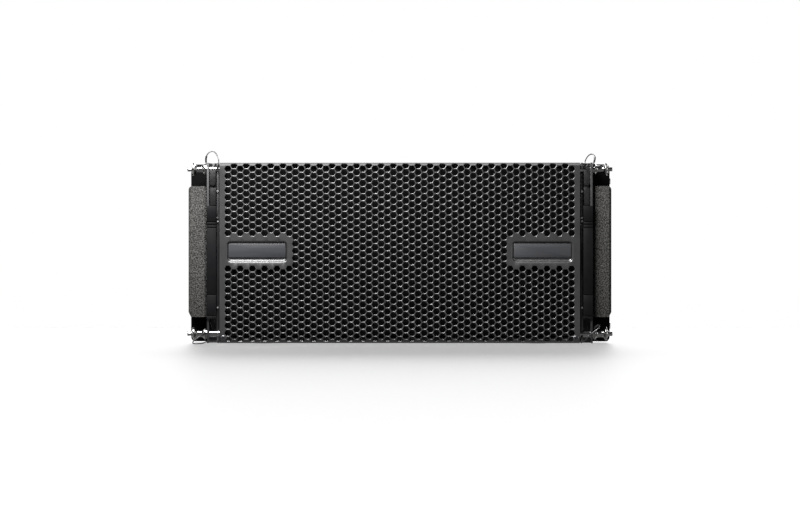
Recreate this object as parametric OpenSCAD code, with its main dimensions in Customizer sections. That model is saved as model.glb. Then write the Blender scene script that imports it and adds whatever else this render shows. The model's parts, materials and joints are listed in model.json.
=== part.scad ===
// Compact line array module: two 8 inch woofers beside a central waveguide, behind a folded steel grille,
// with a two point front rigging, a rear splay link and a rear amplifier.
// Frame: +X to the right seen from the front, +Y to the back, +Z up. Origin at the middle of the base.

/* [Cabinet] */
// Width of the moulded body at its front
body_w = 499; // [495:1:499]
// Height of the body at its front, floor clearance included
body_h = 250; // [248:1:252]
// Width of the body at its rear wall
rear_w = 424; // [410:1:440]
// Height lost at the top and again at the bottom between the front and the rear wall
taper = 21; // [16:1:22]
// Thickness of the moulded walls
wall = 7; // [5:0.5:7]

/* [Grille] */
// Thickness of the grille sheet
grille_t = 1.5; // [1:0.1:1.6]
// Width of a badge plate
badge_w = 79; // [60:1:80]
// Height of a badge plate
badge_h = 19.3; // [14:0.1:20]

/* [Rigging] */
// Diameter of every ball lock pin
pin_d = 9.5; // [8:0.5:9.5]
// Height that a front link rises to reach the module above
link_travel = 25; // [20:1:25]
// Diameter of the hand flange of a ball lock pin
pin_flange_d = 18.4; // [16:0.2:18.4]

/* [Drivers] */
// Outer diameter of a woofer basket
woofer_d = 204; // [200:1:204]
// Diameter of the compression driver
driver_d = 120; // [100:1:130]

/* [Rear panel] */
// Number of fins on the heatsink
fins = 12; // [6:1:14]
// Height of a fin above the heatsink's base
fin_h = 18; // [10:1:19]

/* [Hidden] */
$fn = 64;

// Depths, front to back
front_y = -205;
shell_y = -186;
bend_y = -30;
rear_y = 178;
panel_t = 3;
panel_y = rear_y + panel_t;
back_y = 205;
groove_t = 2;

// Heights
base_z = 1.5;
mid_z = base_z + (body_h - base_z) / 2;
pin_top_z = body_h - 9;
pin_bottom_z = 14;
pin_y = -193;

// Rigging columns: inner and outer face, sheet thickness
col_in = body_w / 2 + 0.5;
col_t = 3;
col_gap = 10;
col_out = col_in + 2 * col_t + col_gap;
link_c = col_in + col_t + col_gap / 2;
cheek_x = col_out + 0.8;
cover_top = 190.6;
cover_low = 33;
pin_r = pin_d / 2;
hole_r = pin_r + 0.08;
slot_r = pin_r + 0.2;
ear_long = pin_r + 4.5;
pin_long = 20.5;
button_reach = 26.6;
shoulder_x = col_out + 1;

// Grille
grille_w = body_w - 2;
flat_top = body_h - 5;
flat_low = 12;
pocket_w = badge_w + 5;
pocket_h = badge_h + 9.9;
pocket_depth = 3;
pocket_x = 196.7;
pocket_z = 127.3;
badge_z = 128.6;

// Woofers
woofer_x = 140;
baffle_y = -176;
woofer_r = woofer_d / 2;
horn_waist_y = -128;
horn_throat_y = -48;

// Side cheeks
cheek_out = 290.8;
cheek_r = 8;
grip_out = 292;
notch_y = -163;
grip_y = -197;
grip_low = 37;
grip_top = 217.7;
pocket_low = 62;
pocket_top = 192;

// Rear panel layout
panel_w = 372;
panel_low = 40;
panel_top = 211;
socket_x = [160, 122];
data_z = 184;
audio_z = 144;
power_z = 72;
control_x = 75;
level_z = 185;
preset_z = 156;
button_z = 131;
usb_z = 104.5;
light_z = 80;
socket_r = 9.8;
barrel_r = 11.8;
flange_t = 2.2;

// Rear rigging
rear_pin_y = 194.3;
pivot_z = 208;
pivot_r = 4;
rear_pin_long = 26;
rear_pin_z = 33;
rear_gap = 13;
rear_t = 4;
splay_step = 13.2;
splay_first = 75;

// Steel of the lanyards
wire_r = 0.8;

// ---------- shared shapes ----------

// An outline in (Y, Z) carried along X, centred on x = 0
module along_x(w) {
    translate([-w / 2, 0, 0]) rotate([90, 0, 90]) linear_extrude(w) children();
}

// An outline in (X, Z) carried along Y from y0 to y1
module along_y(y0, y1) {
    translate([0, y1, 0]) rotate([90, 0, 0]) linear_extrude(y1 - y0) children();
}

// An outline in (X, Y) carried up from z0 to z1
module between(z0, z1) {
    translate([0, 0, z0]) linear_extrude(z1 - z0) children();
}

// A box from its lowest to its highest corner
module block(a, b) {
    translate(a) cube(b - a);
}

// A cylinder along X from x0 to x1
module rod_x(r, x0, x1, y, z) {
    translate([x0, y, z]) rotate([0, 90, 0]) cylinder(r = r, h = x1 - x0);
}

// A cylinder along Y from y0 to y1
module rod_y(r, y0, y1, x, z) {
    translate([x, y1, z]) rotate([90, 0, 0]) cylinder(r = r, h = y1 - y0);
}

// A child drawn for the right side, at the right or mirrored to the left
module side(right) {
    mirror([right ? 0 : 1, 0, 0]) children();
}

function arc(cx, cy, r, a0, a1, n) = [for (i = [0:n]) let (a = a0 + (a1 - a0) * i / n)
    [cx + r * cos(a), cy + r * sin(a)]];

function rounded(w, h, r, n = 6) = concat(
    arc(w / 2 - r, h / 2 - r, r, 0, 90, n), arc(-w / 2 + r, h / 2 - r, r, 90, 180, n),
    arc(-w / 2 + r, -h / 2 + r, r, 180, 270, n), arc(w / 2 - r, -h / 2 + r, r, 270, 360, n));

// Socket head screw facing +Y with its seat at y = 0
module screw_head(r, h) {
    difference() {
        rod_y(r, 0, h, 0, 0);
        translate([0, h + 0.1, 0]) rotate([90, 0, 0]) cylinder(r = r * 0.5, h = h * 0.6, $fn = 6);
    }
}

// ---------- cabinet ----------

function plan(t) = let (f = shell_y - (t > 0 ? 20 : 0), w = body_w / 2 - t, r = rear_w / 2 - t)
    [[-w, f], [w, f], [w, bend_y], [r, rear_y - t], [-r, rear_y - t], [-w, bend_y]];

function profile(t) = let (f = shell_y - (t > 0 ? 20 : 0), k = taper / (rear_y - shell_y), b = rear_y - t)
    [[f, base_z + t + k * (f - shell_y)], [b, base_z + t + k * (b - shell_y)],
     [b, body_h - t - k * (b - shell_y)], [f, body_h - t - k * (f - shell_y)]];

module body_wedge(t) {
    intersection() {
        linear_extrude(body_h + 20) polygon(plan(t));
        along_x(body_w + 100) polygon(profile(t));
    }
}

module cabinet_shell() {
    color([0.09, 0.09, 0.1]) difference() {
        body_wedge(0);
        body_wedge(wall);
        // opening for the amplifier
        block([-176, rear_y - 20, panel_low + 10], [176, rear_y + 10, panel_top - 10]);
        // shallow stacking grooves across the top
        difference() {
            for (y = [-120, -40, 40]) block([-170, y, mid_z], [170, y + 10, body_h + 5]);
            body_wedge(groove_t);
        }
    }
}

module front_baffle() {
    color([0.05, 0.05, 0.05]) difference() {
        block([-242, baffle_y, base_z + 9], [242, baffle_y + 14, body_h - 9]);
        for (s = [-1, 1]) rod_y(woofer_r - 4.5, baffle_y - 5, baffle_y + 20, s * woofer_x, mid_z);
        block([-35.5, baffle_y - 5, mid_z - 98.5], [35.5, baffle_y + 20, mid_z + 98.5]);
    }
}

module feet() {
    color([0.03, 0.03, 0.03]) difference() {
        for (x = [-190, 190], y = [-150, 140]) translate([x, y, 0]) cylinder(r = 14, h = 30);
        body_wedge(0);
        for (x = [-190, 190], y = [-150, 140]) translate([x, y, 20]) cylinder(r = 20, h = 20);
    }
}

// ---------- front ----------

// The folded sheet's outline in (Y, Z), t inside its outer face
function sheet_side(t) = concat(
    [[shell_y - 0.5, body_h - t]], arc(front_y + 5, flat_top, 5 - t, 90, 180, 6),
    arc(front_y + 11, flat_low, 11 - t, 180, 270, 8), [[shell_y - 0.5, flat_low - 11 + t]]);

module sheet_profile() {
    outer = sheet_side(0);
    inner = sheet_side(grille_t);
    polygon(concat(outer, [for (i = [len(inner) - 1:-1:0]) inner[i]]));
}

// A pressed tray for a badge, centred on x
module badge_tray(x) {
    translate([x, 0, pocket_z]) {
        difference() {
            along_y(front_y + 0.2, front_y + pocket_depth + grille_t)
                polygon(rounded(pocket_w, pocket_h, 5));
            along_y(front_y - 1, front_y + pocket_depth)
                polygon(rounded(pocket_w - 2 * grille_t, pocket_h - 2 * grille_t, 4));
        }
    }
}

module grille() {
    color([0.12, 0.12, 0.13]) union() {
        difference() {
            along_x(grille_w) sheet_profile();
            for (s = [-1, 1]) translate([s * pocket_x, 0, pocket_z])
                along_y(front_y - 2, front_y + 4) polygon(rounded(pocket_w - 0.4, pocket_h - 0.4, 4.8));
        }
        for (s = [-1, 1]) {
            badge_tray(s * pocket_x);
            // stiffening return, cut away where a pin's tip passes
            side(s > 0)
                block([grille_w / 2 - grille_t, front_y + 0.5, 28], [grille_w / 2, -192, body_h - 23]);
        }
    }
}

module grille_foam() {
    color([0.02, 0.02, 0.02]) block([-244, -199.5, 15], [244, -196.5, body_h - 8]);
}

module badge(right) {
    color([0.3, 0.31, 0.34]) side(right) translate([pocket_x, 0, badge_z])
        along_y(front_y + 1.4, front_y + pocket_depth) polygon(rounded(badge_w, badge_h, 2));
}

// ---------- side cheeks and handles ----------

module side_cheek(right) {
    color([0.13, 0.13, 0.14]) side(right) difference() {
        union() {
            intersection() {
                linear_extrude(body_h + 20) polygon([[col_in, notch_y], [cheek_out, notch_y],
                    [cheek_out, -75], [col_in, bend_y - 2]]);
                along_x(700) polygon(profile(0));
                translate([0, 0, mid_z]) along_y(notch_y - 1, bend_y)
                    polygon(rounded(2 * cheek_out, body_h - base_z, cheek_r));
            }
            intersection() {
                between(grip_low, grip_top) polygon([[cheek_x, grip_y + 3], [cheek_x + 3, grip_y],
                    [grip_out - 3, grip_y], [grip_out, grip_y + 3], [grip_out, -96], [cheek_out - 1, -88],
                    [cheek_x, -88]]);
                along_y(grip_y - 1, bend_y) polygon(concat(
                    [[cheek_x - 1, grip_low], [grip_out - 3.6, grip_low], [grip_out, grip_low + 7]],
                    arc(grip_out - 5, grip_top - 5, 5, 0, 90, 6), [[cheek_x - 1, grip_top]]));
            }
        }
        // finger pocket behind the grip bar, with its front wall hooked
        between(pocket_low, pocket_top) polygon([[col_in + 3, -160], [grip_out + 10, -155],
            [grip_out + 10, -112], [grip_out - 6, -116], [col_in + 3, -118]]);
        // moulding cores above and below the pocket, open towards the body
        for (z = [[13, 58], [196, 236]])
            block([col_in - 1, notch_y + 5, z[0]], [cheek_out - 4, -92, z[1]]);
    }
}

module grip_pads() {
    color([0.04, 0.04, 0.04]) for (s = [false, true]) side(s)
        between(pocket_low + 10, pocket_top - 10)
            polygon([[264, -158.45], [287, -155.38], [287, -153.4], [264, -156.4]]);
}

// ---------- front rigging ----------

module rigging_column(right) {
    color([0.06, 0.06, 0.065]) side(right) difference() {
        union() {
            block([col_in, -196, 1], [col_in + col_t, -164, body_h]);
            block([col_out - col_t, -203, 1], [col_out, -164, body_h]);
            block([col_in, -168, 1], [col_out, -164, body_h]);
            // stop that the link's tail stands on
            block([col_in + 1, -190, 128], [col_out - 1, -166, 137.5]);
            // anchor tabs of the lanyards
            block([col_in, -203, body_h - 9], [col_in + col_t, -195, body_h - 3]);
            block([col_in, -203, 1.5], [col_in + col_t, -195, 6]);
        }
        for (z = [pin_bottom_z, pin_top_z]) rod_x(hole_r, col_in - 5, col_out + 5, pin_y, z);
        // lead-in for the link of the module below
        for (s = [0, 1]) translate([link_c, 0, 1]) mirror([s, 0, 0]) along_y(-210, -169)
            polygon([[-1, -3], [col_gap / 2 + 2, -3], [col_gap / 2 - 0.01, 8], [-1, 8]]);
    }
}

module column_cover(right) {
    x0 = col_in + col_t + 0.2;
    x1 = col_out + 0.2;
    skin_y = -203.2;
    color([0.08, 0.08, 0.085]) side(right) difference() {
        union() {
            block([x0, front_y, 169.2], [x1, skin_y, cover_top]);
            // two ribs between the upper and the middle section
            block([x0, front_y + 0.9, 159.6], [x1, skin_y, 169.2]);
            for (z = [161, 165.4]) block([x0, front_y + 0.1, z], [x1, skin_y, z + 1.8]);
            block([x0, front_y + 0.4, 68], [x1, skin_y, 159.6]);
            block([x0, front_y, cover_low], [x1, skin_y, 68]);
            block([x0 + 0.2, skin_y, 46], [col_out - col_t - 0.4, -199.5, cover_top - 2.6]);
        }
        // arched mouth over the open slot
        rod_y(5, front_y - 2, -198, link_c, cover_low - 2.5);
        // shadow lines across the lower section
        for (z = [67.4, 38]) block([x0 - 1, front_y - 1, z], [x1 + 1, front_y + 1.3, z + 0.9]);
    }
}

module front_link(right) {
    half = 4;
    plate = 2;
    ear_low = pin_top_z - link_travel - 10;
    hook_z = pin_top_z - 1;
    head_y = -203;
    fork_y = -200.5;
    head_z = 222.7;
    color([0.2, 0.2, 0.21]) side(right) difference() {
        union() {
            for (x = [link_c - half, link_c + half - plate])
                block([x, fork_y, ear_low], [x + plate, -176, body_h - 0.5]);
            block([link_c - half, fork_y, ear_low], [link_c + half, -198.2, head_z]);
            block([link_c - 2.1, -183, ear_low], [link_c + 2.1, -176, body_h - 0.5]);
            // face plate with a round lower end, covering the lower half of the pin
            block([link_c - half, head_y, head_z], [link_c + half, -199.5, hook_z]);
            rod_y(half, head_y, -199.5, link_c, head_z);
            // tail guided behind the cover
            block([link_c - 3, -198, 138], [link_c + 3, -178, ear_low + 1]);
            block([link_c - half, fork_y, cover_top + 1], [link_c + half, -197, ear_low + 1]);
        }
        for (z = [0, link_travel]) rod_x(slot_r, link_c - 10, link_c + 10, pin_y, pin_top_z - z);
        block([link_c - 10, pin_y - slot_r, pin_top_z - link_travel],
            [link_c + 10, pin_y + slot_r, pin_top_z]);
        // groove under the face plate
        block([link_c - 5, fork_y - 1, 215.4], [link_c + 5, -199.2, head_z - half]);
        // hooked upper end, open towards the front
        block([link_c - 10, -210, hook_z], [link_c + 10, -195.5, body_h + 5]);
    }
}

// Ball lock pin along +Z: the shank runs from 0 to its length, the handle is below 0
module ball_pin(long, ear_angle = 0) {
    rim = pin_flange_d / 2;
    waist = pin_flange_d / 4;
    color([0.72, 0.72, 0.74]) difference() {
        union() {
            cylinder(r = pin_r, h = long - 1.5);
            translate([0, 0, long - 1.5]) cylinder(r1 = pin_r, r2 = pin_r - 1.5, h = 1.5);
            // locking balls, drawn in
            for (s = [-1, 1]) translate([0, s * (pin_r - 1.55), long - 3]) sphere(r = 1.6);
            // lanyard washer with its ear
            translate([0, 0, -1.2]) cylinder(r = pin_r + 2, h = 1.2);
            rotate(ear_angle) block([0, -3, -1.2], [ear_long, 3, 0]);
            // spool handle: inner flange, waist, hand flange
            translate([0, 0, -3.2]) cylinder(r = rim - 1.4, h = 2);
            translate([0, 0, -6.2]) cylinder(r1 = waist, r2 = rim - 2.4, h = 3);
            translate([0, 0, -14]) cylinder(r = waist, h = 8);
            translate([0, 0, -16.6]) cylinder(r1 = rim - 0.8, r2 = waist, h = 2.8);
            translate([0, 0, -18.8]) cylinder(r = rim, h = 2.2);
            translate([0, 0, -20.4]) cylinder(r1 = 4.4, r2 = 5.4, h = 1.6);
        }
        translate([0, 0, -21]) cylinder(r = 3.08, h = 12.5);
    }
}

module pin_button() {
    color([0.8, 0.8, 0.82]) union() {
        translate([0, 0, 1 - button_reach]) cylinder(r = 3, h = 13.4);
        translate([0, 0, -button_reach]) cylinder(r1 = 2.2, r2 = 3, h = 1);
    }
}

module at_front_pin(right, z) {
    side(right) translate([shoulder_x, pin_y, z]) rotate([0, -90, 0]) children();
}

module at_rear_pin() {
    translate([rear_gap / 2 + rear_t + 1, rear_pin_y, rear_pin_z]) rotate([0, -90, 0]) children();
}

// Lanyards: hand laid routes, from the pin's ear to the column
route_top_left = [
    [-267.6, -193, 248.3], [-267.9, -193, 251.5], [-268, -192.9, 255], [-267.5, -192.7, 258.5],
    [-266, -192.4, 261.9], [-263.4, -192, 264.7], [-259.9, -191.8, 266.1], [-256.4, -192, 265.2],
    [-253.8, -192.5, 262.5], [-252, -193.3, 259.2], [-250.8, -194.6, 256], [-250.1, -196.4, 253.1],
    [-249.8, -198.7, 250.6], [-250, -201.3, 248.9], [-250.4, -203.8, 247.9], [-250.8, -204.4, 245.8]];
route_top_right = [
    [267.6, -193, 248.3], [268.3, -193, 251.2], [269.1, -192.8, 254.4], [269.3, -192.2, 257.6],
    [268.3, -191, 260.4], [266.1, -189.2, 261.9], [263.3, -187, 261.7], [260.9, -184.6, 260.1],
    [259, -181.9, 257.9], [257.6, -179, 255.6], [256.8, -175.9, 253.7], [256.5, -172.6, 252.4],
    [256.7, -169.3, 251.7], [257, -166.2, 251.4]];
route_bottom_left = [
    [-267.6, -201, 14], [-268.1, -204.5, 14.4], [-269.6, -208, 14.2], [-272.3, -211.2, 12.6],
    [-275.8, -214, 10.2], [-279.6, -216.6, 7.3], [-282.8, -219.6, 4.5], [-284, -223.4, 2.2],
    [-282.6, -227, 1.1], [-279.2, -228.8, 0.9], [-275.4, -227.8, 0.9], [-272.2, -225, 1],
    [-269.8, -221.4, 1.5], [-267.8, -217.4, 2.4], [-265.8, -213.2, 3.2], [-263, -209.6, 3.6],
    [-259.4, -206.8, 3.6], [-255.4, -205, 3.5], [-251.5, -203.9, 3.4]];
route_bottom_right = [
    [267.6, -198.4, 20.5], [269.4, -200.6, 23], [272, -202.6, 25.2], [274.6, -205, 25.6],
    [274.8, -207.4, 23.4], [272.4, -208.8, 20.8], [269.2, -209, 18.2], [265.8, -208.8, 15.4],
    [262.4, -208.2, 12.4], [259.4, -207.2, 9.4], [256.8, -206, 6.6], [254.2, -204.9, 4.2],
    [251.6, -203.9, 2.4]];

function unit(v) = v / norm(v);
function tangent(p, i) = unit(p[min(i + 1, len(p) - 1)] - p[max(i - 1, 0)]);

// A round tube with 8 sides swept along the points p; ref is never along the path
module swept_wire(p, r, ref) {
    k = 8;
    n = len(p);
    points = [for (i = [0:n - 1]) let (t = tangent(p, i), u = unit(cross(t, ref)), v = cross(t, u))
        for (j = [0:k - 1]) p[i] + r * (cos(360 * j / k) * u + sin(360 * j / k) * v)];
    faces = concat(
        [[for (j = [0:k - 1]) j]],
        [for (i = [0:n - 2], j = [0:k - 1]) let (m = (j + 1) % k)
            [i * k + j, (i + 1) * k + j, (i + 1) * k + m, i * k + m]],
        [[for (j = [k - 1:-1:0]) (n - 1) * k + j]]);
    color([0.1, 0.1, 0.1]) polyhedron(points = points, faces = faces);
}

// ---------- rear rigging ----------

module rear_bracket() {
    color([0.06, 0.06, 0.065]) difference() {
        union() {
            block([-26, panel_y, 22], [26, panel_y + panel_t, 225]);
            for (s = [-1, 1]) translate([s * (rear_gap + rear_t) / 2, 0, 0])
                block([-rear_t / 2, panel_y + panel_t, 22], [rear_t / 2, back_y, 225]);
        }
        rod_x(hole_r, -40, 40, rear_pin_y, rear_pin_z);
        rod_x(pivot_r + 0.02, -40, 40, rear_pin_y, pivot_z);
    }
}

module rear_link() {
    color([0.25, 0.25, 0.26]) difference() {
        union() {
            block([-4, rear_pin_y - 9, pivot_z - splay_first], [4, rear_pin_y + 9, pivot_z]);
            rod_x(9, -4, 4, rear_pin_y, pivot_z - splay_first);
            rod_x(9, -6.2, 6.2, rear_pin_y, pivot_z);
        }
        rod_x(pivot_r + 0.06, -20, 20, rear_pin_y, pivot_z);
        for (i = [0:3]) rod_x(slot_r, -20, 20, rear_pin_y, pivot_z - splay_first + i * splay_step);
    }
}

// ---------- loudspeakers: drawn along +Z, then turned to face -Y ----------

module at_woofer(right) {
    translate([right ? woofer_x : -woofer_x, baffle_y, mid_z]) rotate([90, 0, 0]) children();
}

module at_driver() {
    translate([0, horn_throat_y, mid_z]) rotate([90, 0, 0]) children();
}

module woofer_basket(right) {
    color([0.1, 0.1, 0.1]) at_woofer(right) difference() {
        rotate_extrude() polygon([[88, 0], [88, 4], [woofer_r, 4], [woofer_r, 0], [96, 0], [86, -32],
            [54, -57], [54, -60], [28, -60], [28, -57], [50, -57], [56, -52.2], [56, -48], [64.5, -48],
            [64.5, -45.6], [82.5, -31], [91, 0]]);
        for (i = [0:5]) rotate(i * 60 + 30) block([58, -19, -53], [103, 19, -27]);
        for (i = [0:7]) rotate(i * 45 + 22.5) translate([99.2, 0, -1]) cylinder(r = 1.6, h = 8);
    }
}

module woofer_motor(right) {
    color([0.35, 0.35, 0.37]) at_woofer(right) rotate_extrude() polygon([[10, -88], [42, -88], [42, -80],
        [46, -80], [46, -66.5], [44, -66.5], [44, -60], [27.2, -60], [27.2, -66.5], [31, -66.5], [31, -80],
        [24.6, -80], [24.6, -55], [10, -55]]);
}

module woofer_suspension(right) {
    corrugation = [for (i = [0:20]) [26.7 + i * 1.5, -46.4 + 1.2 * sin(i * 90)]];
    color([0.04, 0.04, 0.04]) at_woofer(right) {
        rotate_extrude() polygon(concat(
            [[98, 4], [98, 5.2], [90.6, 5.2]], arc(84.8, 4.6, 5.9, 5, 180, 12),
            [[78.9, 3.4], [80.1, 3.4]], arc(84.8, 4.6, 4.7, 180, 0, 12), [[89.5, 4]]));
        rotate_extrude() polygon(concat(
            corrugation, [[58, -47.1], [63.5, -47.1], [63.5, -48], [57, -48]],
            [for (i = [20:-1:0]) corrugation[i] - [0, 0.8]]));
    }
}

module woofer_cone(right) {
    color([0.07, 0.07, 0.07]) at_woofer(right) union() {
        // cone with its voice coil
        rotate_extrude() polygon([[78.5, 4.5], [60, -13], [42, -26.5], [26.2, -36], [25.4, -36],
            [25.4, -72], [26.2, -72], [26.2, -38.5], [42, -28.5], [60, -14.9], [78.5, 2.7]]);
        // dust cap
        rotate_extrude() polygon([[0, -24], [10, -24.8], [20, -27.6], [30, -33], [30, -34.6], [20, -29],
            [10, -26.2], [0, -25.4]]);
    }
}

// A thin slice of the horn, half a width of x
module slab(y, x, low, high, t = 0.1) {
    block([-x, y, low], [x, y + t, high]);
}

// The round end of the horn at the driver
module throat(r, y0, y1) {
    rod_y(r, y0, y1, 0, mid_z, $fn = 32);
}

module waveguide() {
    low = mid_z - 95;
    high = mid_z + 95;
    color([0.05, 0.05, 0.05]) difference() {
        union() {
            hull() {
                slab(baffle_y, 35, low - 3, high + 3);
                slab(horn_waist_y, 13, low + 12, high - 12);
            }
            hull() {
                slab(horn_waist_y, 13, low + 12, high - 12);
                throat(22, horn_throat_y - 1, horn_throat_y);
            }
            block([-37.3, baffle_y - 4, low - 9], [37.3, baffle_y, high + 9]);
            rod_y(46, horn_throat_y - 5, horn_throat_y, 0, mid_z);
        }
        hull() {
            slab(baffle_y - 4.2, 32, low, high);
            slab(horn_waist_y, 10, low + 15, high - 15);
        }
        hull() {
            slab(horn_waist_y - 0.1, 10, low + 15, high - 15, 0.2);
            throat(18, horn_throat_y, horn_throat_y + 0.5);
        }
    }
}

module driver_body() {
    r = driver_d / 2;
    color([0.3, 0.3, 0.32]) at_driver() rotate_extrude()
        polygon([[18, 0], [r - 10, 0], [r - 10, -8], [r, -8], [r, -42], [r - 12, -42], [r - 12, -46],
            [38.5, -46], [38.5, -43], [30, -40]]);
}

module driver_cap() {
    color([0.08, 0.08, 0.08]) at_driver() rotate_extrude()
        polygon([[0, -64], [40, -64], [46, -58], [46, -46], [43, -46], [43, -57], [38.5, -61], [0, -61]]);
}

module driver_diaphragm() {
    color([0.75, 0.75, 0.78]) at_driver() rotate_extrude()
        polygon([[0, -57], [15, -55.4], [28, -50.6], [34, -44.8], [37.8, -44.8], [37.8, -44.2],
            [33.6, -44.2], [27.6, -49.8], [15, -54.7], [0, -56.3]]);
}

// ---------- rear panel ----------

sockets = [for (z = [data_z, audio_z, power_z], x = socket_x) [x, z]];

module amp_panel() {
    pin_z = usb_z + 7;
    color([0.1, 0.1, 0.11]) difference() {
        union() {
            block([-panel_w / 2, rear_y, panel_low], [panel_w / 2, panel_y, panel_top]);
            // lugs and pin of the service port's cover
            for (x = [control_x - 10, control_x + 7]) {
                rod_x(1.6, x, x + 3, panel_y + 2, pin_z);
                block([x, panel_y - 0.5, pin_z - 1.6], [x + 3, panel_y + 2, pin_z + 1.6]);
            }
            rod_x(0.8, control_x - 8, control_x + 8, panel_y + 2, pin_z);
        }
        for (s = sockets) rod_y(barrel_r + 0.2, rear_y - 5, panel_y + 5, s[0], s[1]);
        for (z = [level_z, preset_z]) rod_y(3.2, rear_y - 5, panel_y + 5, control_x, z);
        rod_y(4.15, rear_y - 5, panel_y + 5, control_x, button_z);
        for (i = [0:3]) rod_y(1.9, rear_y - 5, panel_y + 5, control_x - 15 + 10 * i, light_z);
        block([control_x - 5, rear_y - 5, usb_z - 3], [control_x + 5, panel_y + 5, usb_z + 2.5]);
    }
}

module heatsink() {
    left = -panel_w / 2 + 4;
    right = -34;
    fin_t = 2.5;
    base_y = panel_y + 5;
    pitch = (right - left - fin_t) / (fins - 1);
    color([0.07, 0.07, 0.075]) between(panel_low + 6, panel_top - 6) {
        translate([left, panel_y]) square([right - left, base_y - panel_y]);
        for (i = [0:fins - 1])
            translate([left + i * pitch, base_y - 1]) square([fin_t, fin_h + 1]);
    }
}

module amp_board() {
    board_y = 150;
    color([0.05, 0.25, 0.12]) union() {
        block([-160, board_y, 58], [160, board_y + 1.6, 194]);
        // reservoir capacitors
        for (x = [-20, 10, 40], z = [85, 125]) rod_y(12, board_y - 36, board_y + 0.5, x, z);
        // output filter coils
        for (x = [80, 120], z = [90, 140])
            block([x - 12, board_y - 22, z - 12], [x + 12, board_y + 0.5, z + 12]);
        // posts that carry the board on the panel
        for (x = [-155, 100], z = [62, 190]) rod_y(3, board_y + 1, rear_y, x, z);
    }
}

module power_supply() {
    color([0.55, 0.55, 0.57]) difference() {
        block([-145, 104, 66], [-50, 149.5, 186]);
        block([-143, 106, 68], [-52, 150, 184]);
        for (z = [80:14:172]) block([-130, 100, z], [-65, 108, z + 5]);
    }
}

// A panel socket's flange and barrel with a blind cup, centred on x = z = 0
module cup_socket(cup_r, latch = false) {
    difference() {
        union() {
            along_y(panel_y, panel_y + flange_t) polygon(rounded(26, 32, 3));
            rod_y(barrel_r, panel_y - 23, panel_y, 0, 0);
        }
        rod_y(cup_r, panel_y - 20, panel_y + 5, 0, 0);
        if (latch) block([-4.2, panel_y - 0.01, 11.8], [4.2, panel_y + 5, 15]);
        for (s = [-1, 1]) rod_y(1.6, panel_y - 1, panel_y + 5, s * 10, -s * 12.8);
    }
}

module power_sockets() {
    color([0.55, 0.55, 0.58]) for (x = socket_x) translate([x, 0, power_z]) cup_socket(socket_r);
}

module signal_sockets() {
    color([0.5, 0.5, 0.52]) {
        // data: a cup with a jack block inside
        for (x = socket_x) translate([x, 0, data_z]) union() {
            cup_socket(9.6, true);
            difference() {
                block([-8, panel_y - 20.5, -7], [8, panel_y - 3, 7]);
                block([-6, panel_y - 15, -4], [6, panel_y, 4]);
            }
        }
        // balanced input: an insert with three contact holes
        translate([socket_x[0], 0, audio_z]) union() {
            cup_socket(9.6, true);
            difference() {
                rod_y(8, panel_y - 20.5, panel_y - 0.5, 0, 0);
                for (a = [90, 210, 330]) rod_y(1.4, panel_y - 12, panel_y + 1, 4.5 * cos(a), 4.5 * sin(a));
            }
        }
        // balanced link: a cup with three pins
        translate([socket_x[1], 0, audio_z]) union() {
            cup_socket(9.6);
            for (a = [90, 210, 330]) rod_y(1.2, panel_y - 20.5, panel_y - 4, 4.5 * cos(a), 4.5 * sin(a));
        }
    }
}

module latch(x, z) {
    color([0.6, 0.6, 0.62]) block([x - 3.9, panel_y + 1.9, z + 12.1], [x + 3.9, panel_y + 5, z + 14.7]);
}

module knob(z) {
    color([0.08, 0.08, 0.08]) difference() {
        union() {
            rod_y(3, rear_y - 6, panel_y + 3, control_x, z);
            rod_y(8, panel_y + 1.5, panel_y + 4, control_x, z);
            rod_y(6.6, panel_y + 4, panel_y + 13, control_x, z);
        }
        block([control_x - 0.6, panel_y + 12, z + 1], [control_x + 0.6, panel_y + 14, z + 7]);
        // grip flutes
        for (a = [15:30:345])
            rod_y(0.7, panel_y + 4.5, panel_y + 14, control_x + 6.9 * cos(a), z + 6.9 * sin(a));
    }
}

module test_button() {
    color([0.15, 0.15, 0.15]) union() {
        rod_y(4, rear_y - 4, panel_y + 3, control_x, button_z);
        rod_y(5, rear_y - 6, rear_y - 3, control_x, button_z);
    }
}

module usb_cover() {
    pin_z = usb_z + 7;
    color([0.05, 0.05, 0.05]) difference() {
        union() {
            block([control_x - 10, panel_y + 0.5, usb_z - 6],
                [control_x + 10, panel_y + 2.5, usb_z + 4.8]);
            rod_x(1.6, control_x - 6.7, control_x + 6.7, panel_y + 2, pin_z);
            block([control_x - 6.7, panel_y + 0.9, usb_z + 4], [control_x + 6.7, panel_y + 2.5, pin_z]);
            block([control_x - 3, panel_y + 2, usb_z - 5.5], [control_x + 3, panel_y + 3.4, usb_z - 4]);
        }
        rod_x(0.86, control_x - 20, control_x + 20, panel_y + 2, pin_z);
    }
}

module status_lights() {
    tint = [[0.1, 0.7, 0.2], [0.1, 0.7, 0.2], [0.9, 0.7, 0.1], [0.8, 0.1, 0.1]];
    for (i = [0:3]) color(tint[i]) rod_y(1.8, rear_y - 3, panel_y + 0.8, control_x - 15 + 10 * i, light_z);
}

// ---------- fasteners ----------

module rigging_screws() {
    color([0.6, 0.6, 0.62]) {
        // pivot bolt of the rear link
        rod_x(pivot_r, -rear_gap / 2 - rear_t - 3, rear_gap / 2 + rear_t + 3, rear_pin_y, pivot_z);
        for (s = [false, true]) side(s) {
            rod_x(7, rear_gap / 2 + rear_t, rear_gap / 2 + rear_t + 4, rear_pin_y, pivot_z);
            // front edge of the column
            for (z = [50, 169, 174.2, 210.5])
                translate([col_in + 1.5, -196, z]) mirror([0, 1, 0]) screw_head(1.4, 1.6);
            // side cheek
            for (z = [24, 226]) translate([cheek_out, -120, z]) rotate([0, 0, -90]) screw_head(4.5, 2.6);
            // rear bracket
            for (z = [60, 115, 170, 214]) translate([18.5, panel_y + 3, z]) screw_head(4, 2.4);
        }
    }
}

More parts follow.
